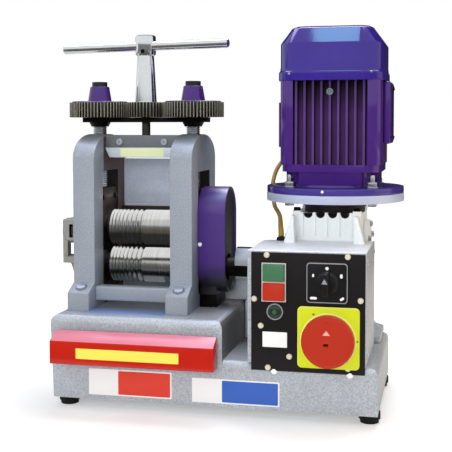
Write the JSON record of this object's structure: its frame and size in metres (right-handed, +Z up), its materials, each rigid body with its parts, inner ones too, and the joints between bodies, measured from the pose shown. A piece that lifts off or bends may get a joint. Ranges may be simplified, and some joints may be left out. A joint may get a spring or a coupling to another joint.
{
  "type": "bench-top electric rolling mill",
  "caption": "Bench-top electric rolling mill for sheet and wire: grooved steel rolls in two cast housings, T-handle screw-down gears, upright finned motor and a control box.",
  "frame": {"origin": "on the bench under the middle of the base casting", "axes": "+Z up, +Y to the back, +X to the right seen from the operator side"},
  "size_m": [0.5152, 0.3035, 0.535],
  "materials": {
    "hammertone_base": "hammered paint",
    "hammertone_housing": "hammered paint",
    "black_rubber": "matt moulded",
    "blackened_steel": "blackened",
    "bare_alloy_strip": "brushed",
    "bronze_chock": "oiled",
    "polished_roll_steel": "ground bright",
    "purple_paint": "gloss",
    "dark_zinc_sheet": "satin",
    "cast_alloy": "as cast",
    "black_nylon": "moulded",
    "ochre_cable": "extruded",
    "black_panel": "satin",
    "white_plastic": "moulded",
    "green_plastic": "moulded",
    "red_plastic": "moulded",
    "clear_lens": "moulded",
    "yellow_plastic": "moulded",
    "red_paint": "gloss"
  },
  "bodies": {
    "machine": {"base_casting": "hammertone_base", "rubber_feet": "black_rubber", "left_housing": "hammertone_housing", "right_housing": "hammertone_housing", "top_tie": "blackened_steel", "name_strip": "bare_alloy_strip", "rear_plate": "hammertone_housing", "lower_ties": "hammertone_housing", "lower_chocks": "bronze_chock", "side_bracket": "hammertone_housing", "gear_guard": "purple_paint", "coupling_cover": "dark_zinc_sheet", "gearbox_pedestal": "hammertone_base", "gearbox_body": "cast_alloy", "gearbox_covers": "cast_alloy", "input_flange": "cast_alloy", "motor_flange": "purple_paint", "motor_body": "purple_paint", "fan_cowl": "purple_paint", "terminal_box": "purple_paint", "cable_glands": "black_nylon", "motor_cable": "ochre_cable", "control_box": "hammertone_housing", "front_panel": "black_panel", "button_bezel": "white_plastic", "pilot_lamp": "clear_lens", "cam_plate": "black_nylon", "isolator_plate": "yellow_plastic"},
    "screwdown": {"upper_chocks": "bronze_chock", "carrier_bar": "blackened_steel"},
    "left_screw_body": {"left_screw": "blackened_steel", "left_cap": "purple_paint"},
    "right_screw_body": {"right_screw": "blackened_steel", "right_cap": "purple_paint"},
    "handle": {"t_handle": "polished_roll_steel", "handle_pinion": "blackened_steel"},
    "upper_roll_body": {"upper_roll": "polished_roll_steel", "upper_roll_gear": "blackened_steel"},
    "lower_roll_body": {"lower_roll": "polished_roll_steel", "lower_roll_gear": "blackened_steel"},
    "stop_bar": {"emergency_bar": "red_paint"},
    "start_button": {"green_button": "green_plastic"},
    "stop_button": {"red_button": "red_plastic"},
    "selector": {"cam_knob": "black_nylon"},
    "isolator": {"isolator_knob": "red_plastic"}
  },
  "joints": [
    {"name": "handle_turn", "type": "hinge", "parent": "screwdown", "child": "handle", "pos_m": [-0.1265, 0.005, 0.5085], "axis": [0, 0, 1], "range_deg": [-457.9, 567.8]},
    {"name": "screwdown_travel", "type": "slide", "parent": "machine", "child": "screwdown", "axis": [0, 0, 1], "range_m": [-0.00325, 0.00265]},
    {"name": "left_screw_turn", "type": "hinge", "parent": "screwdown", "child": "left_screw_body", "pos_m": [-0.1985, 0.005, 0.3915], "axis": [0, 0, 1], "range_deg": [-380, 308]},
    {"name": "right_screw_turn", "type": "hinge", "parent": "screwdown", "child": "right_screw_body", "pos_m": [-0.0545, 0.005, 0.3915], "axis": [0, 0, 1], "range_deg": [-380, 308]},
    {"name": "lower_roll_turn", "type": "hinge", "parent": "machine", "child": "lower_roll_body", "pos_m": [-0.1265, 0.005, 0.186], "axis": [1, 0, 0], "continuous": true},
    {"name": "upper_roll_turn", "type": "hinge", "parent": "screwdown", "child": "upper_roll_body", "pos_m": [-0.1265, 0.005, 0.2415], "axis": [1, 0, 0], "continuous": true},
    {"name": "stop_bar_push", "type": "slide", "parent": "machine", "child": "stop_bar", "axis": [0, 1, 0], "range_m": [0, 0.003], "stiffness_N_per_m": 3000, "springref_m": -0.001},
    {"name": "start_button_push", "type": "slide", "parent": "machine", "child": "start_button", "axis": [0, 1, 0], "range_m": [0, 0.0025], "stiffness_N_per_m": 800, "springref_m": -0.001},
    {"name": "stop_button_push", "type": "slide", "parent": "machine", "child": "stop_button", "axis": [0, 1, 0], "range_m": [0, 0.0025], "stiffness_N_per_m": 800, "springref_m": -0.001},
    {"name": "selector_turn", "type": "hinge", "parent": "machine", "child": "selector", "pos_m": [0.158, -0.1335, 0.1885], "axis": [0, -1, 0], "range_deg": [-60, 60]},
    {"name": "isolator_turn", "type": "hinge", "parent": "machine", "child": "isolator", "pos_m": [0.1598, -0.1335, 0.113], "axis": [0, -1, 0], "range_deg": [0, 90]}
  ],
  "couplings": [
    {"joint": "screwdown_travel", "follows": "handle_turn", "m_per_rad": -0.00031282},
    {"joint": "left_screw_turn", "follows": "handle_turn", "ratio": -0.65517},
    {"joint": "right_screw_turn", "follows": "handle_turn", "ratio": -0.65517},
    {"joint": "upper_roll_turn", "follows": "lower_roll_turn", "ratio": -1}
  ]
}
